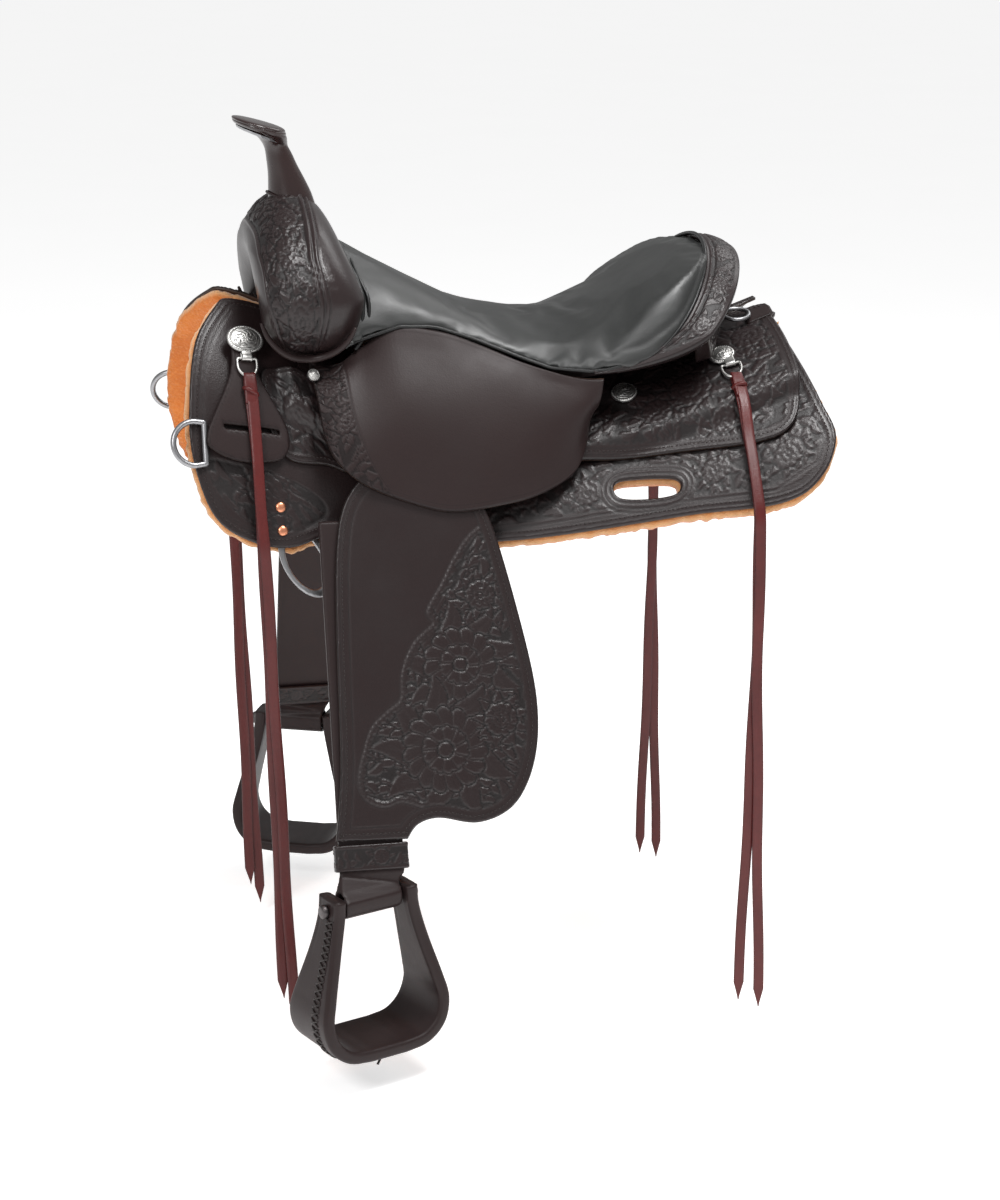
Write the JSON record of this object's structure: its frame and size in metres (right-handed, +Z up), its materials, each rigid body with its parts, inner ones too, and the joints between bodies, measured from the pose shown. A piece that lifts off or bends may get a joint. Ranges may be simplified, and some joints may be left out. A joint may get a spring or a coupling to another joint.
{
  "type": "western saddle",
  "caption": "Western riding saddle with tooled dark leather, black seat, horn, fleece-lined skirts, fenders and stirrups that swing, and long tie strings.",
  "frame": {"origin": "on the horse's spine line at the lowest point of the back that the saddle rests on", "axes": "+X to the cantle (rear), horn at -X; +Y to the off (right) side, so the near (left) side is -Y; +Z up"},
  "size_m": [0.672, 0.6968, 0.9243],
  "materials": {
    "skirt_leather": "dark chocolate leather with carved flowers, semi-matte with worn highlights",
    "smooth_leather": "smooth dark chocolate leather, semi-gloss",
    "seat_leather": "soft padded black leather, low sheen",
    "string_leather": "red-brown latigo leather strings, semi-matte",
    "lining": "tan-orange fleece lining",
    "silver": "engraved bright metal with dark recesses",
    "dark_steel": "dull plated steel",
    "tree_wood": "bare wood, hidden inside"
  },
  "bodies": {
    "saddle": {"horn_core": "dark_steel", "horn_wrap": "smooth_leather", "horn_cap": "smooth_leather", "fork": "tree_wood", "swell_cover": "skirt_leather", "cantle": "tree_wood", "cantle_roll": "skirt_leather", "seat_pad": "seat_leather", "ground_seat": "smooth_leather", "near_tree_bar": "tree_wood", "near_skirt": "skirt_leather", "near_fleece": "lining", "near_front_jockey": "skirt_leather", "near_rear_jockey": "skirt_leather", "near_latigo_keeper": "skirt_leather", "near_seat_jockey": "smooth_leather", "near_front_concho": "silver", "near_mid_concho": "silver", "near_rear_concho": "silver", "near_jockey_screw": "silver", "near_rigging_dee": "dark_steel", "near_rear_ring_tab": "smooth_leather", "off_tree_bar": "tree_wood", "off_skirt": "skirt_leather", "off_fleece": "lining", "off_front_jockey": "skirt_leather", "off_rear_jockey": "skirt_leather", "off_latigo_keeper": "skirt_leather", "off_seat_jockey": "smooth_leather", "off_front_concho": "silver", "off_mid_concho": "silver", "off_rear_concho": "silver", "off_jockey_screw": "silver", "off_rigging_dee": "dark_steel", "off_rear_ring_tab": "smooth_leather"},
    "near_fender_body": {"near_fender": "skirt_leather", "near_stirrup_leather": "smooth_leather", "near_hobble_strap": "skirt_leather"},
    "near_stirrup_body": {"near_stirrup": "smooth_leather", "near_stirrup_bolt": "dark_steel"},
    "near_front_tie": {"near_front_string_dee": "silver", "near_front_string": "string_leather"},
    "near_rear_tie": {"near_rear_string_dee": "silver", "near_rear_string": "string_leather"},
    "near_breast_dee_body": {"near_breast_dee": "dark_steel"},
    "near_rear_ring_body": {"near_rear_ring": "dark_steel"},
    "off_fender_body": {"off_fender": "skirt_leather", "off_stirrup_leather": "smooth_leather", "off_hobble_strap": "skirt_leather"},
    "off_stirrup_body": {"off_stirrup": "smooth_leather", "off_stirrup_bolt": "dark_steel"},
    "off_front_tie": {"off_front_string_dee": "silver", "off_front_string": "string_leather"},
    "off_rear_tie": {"off_rear_string_dee": "silver", "off_rear_string": "string_leather"},
    "off_breast_dee_body": {"off_breast_dee": "dark_steel"},
    "off_rear_ring_body": {"off_rear_ring": "dark_steel"}
  },
  "joints": [
    {"name": "near_fender_swing", "type": "hinge", "parent": "saddle", "child": "near_fender_body", "pos_m": [-0.13, -0.1525, -0.085], "axis": [0, -0.9397, 0.342], "range_deg": [-30, 20]},
    {"name": "near_stirrup_swing", "type": "hinge", "parent": "near_fender_body", "child": "near_stirrup_body", "pos_m": [-0.188, -0.287, -0.468], "axis": [-0.9205, -0.3907, 0], "range_deg": [-10, 30]},
    {"name": "near_front_string_swing", "type": "hinge", "parent": "saddle", "child": "near_front_tie", "pos_m": [-0.2755, -0.0958, 0.0423], "axis": [-0.9768, -0.178, 0.1188], "range_deg": [0, 5]},
    {"name": "near_rear_string_swing", "type": "hinge", "parent": "saddle", "child": "near_rear_tie", "pos_m": [0.222, -0.1005, 0.0188], "axis": [-0.9585, 0.1347, -0.2512], "range_deg": [0, 40]},
    {"name": "near_breast_dee_swing", "type": "hinge", "parent": "saddle", "child": "near_breast_dee_body", "pos_m": [-0.3225, -0.1317, -0.0341], "axis": [0, 0.3424, 0.9395], "range_deg": [0, 90]},
    {"name": "near_rear_ring_swing", "type": "hinge", "parent": "saddle", "child": "near_rear_ring_body", "pos_m": [0.2585, -0.0371, 0.0596], "axis": [0, 0.9566, 0.2913], "range_deg": [-5, 80]},
    {"name": "off_fender_swing", "type": "hinge", "parent": "saddle", "child": "off_fender_body", "pos_m": [-0.13, 0.1525, -0.085], "axis": [0, -0.9397, -0.342], "range_deg": [-30, 20]},
    {"name": "off_stirrup_swing", "type": "hinge", "parent": "off_fender_body", "child": "off_stirrup_body", "pos_m": [-0.188, 0.287, -0.468], "axis": [0.9205, -0.3907, 0], "range_deg": [-10, 30]},
    {"name": "off_front_string_swing", "type": "hinge", "parent": "saddle", "child": "off_front_tie", "pos_m": [-0.2755, 0.0958, 0.0423], "axis": [0.9768, -0.178, -0.1188], "range_deg": [0, 5]},
    {"name": "off_rear_string_swing", "type": "hinge", "parent": "saddle", "child": "off_rear_tie", "pos_m": [0.222, 0.1005, 0.0188], "axis": [0.9585, 0.1347, 0.2512], "range_deg": [0, 40]},
    {"name": "off_breast_dee_swing", "type": "hinge", "parent": "saddle", "child": "off_breast_dee_body", "pos_m": [-0.3225, 0.1317, -0.0341], "axis": [0, 0.3424, -0.9395], "range_deg": [0, 90]},
    {"name": "off_rear_ring_swing", "type": "hinge", "parent": "saddle", "child": "off_rear_ring_body", "pos_m": [0.2585, 0.0371, 0.0596], "axis": [0, 0.9566, -0.2913], "range_deg": [-5, 80]}
  ]
}
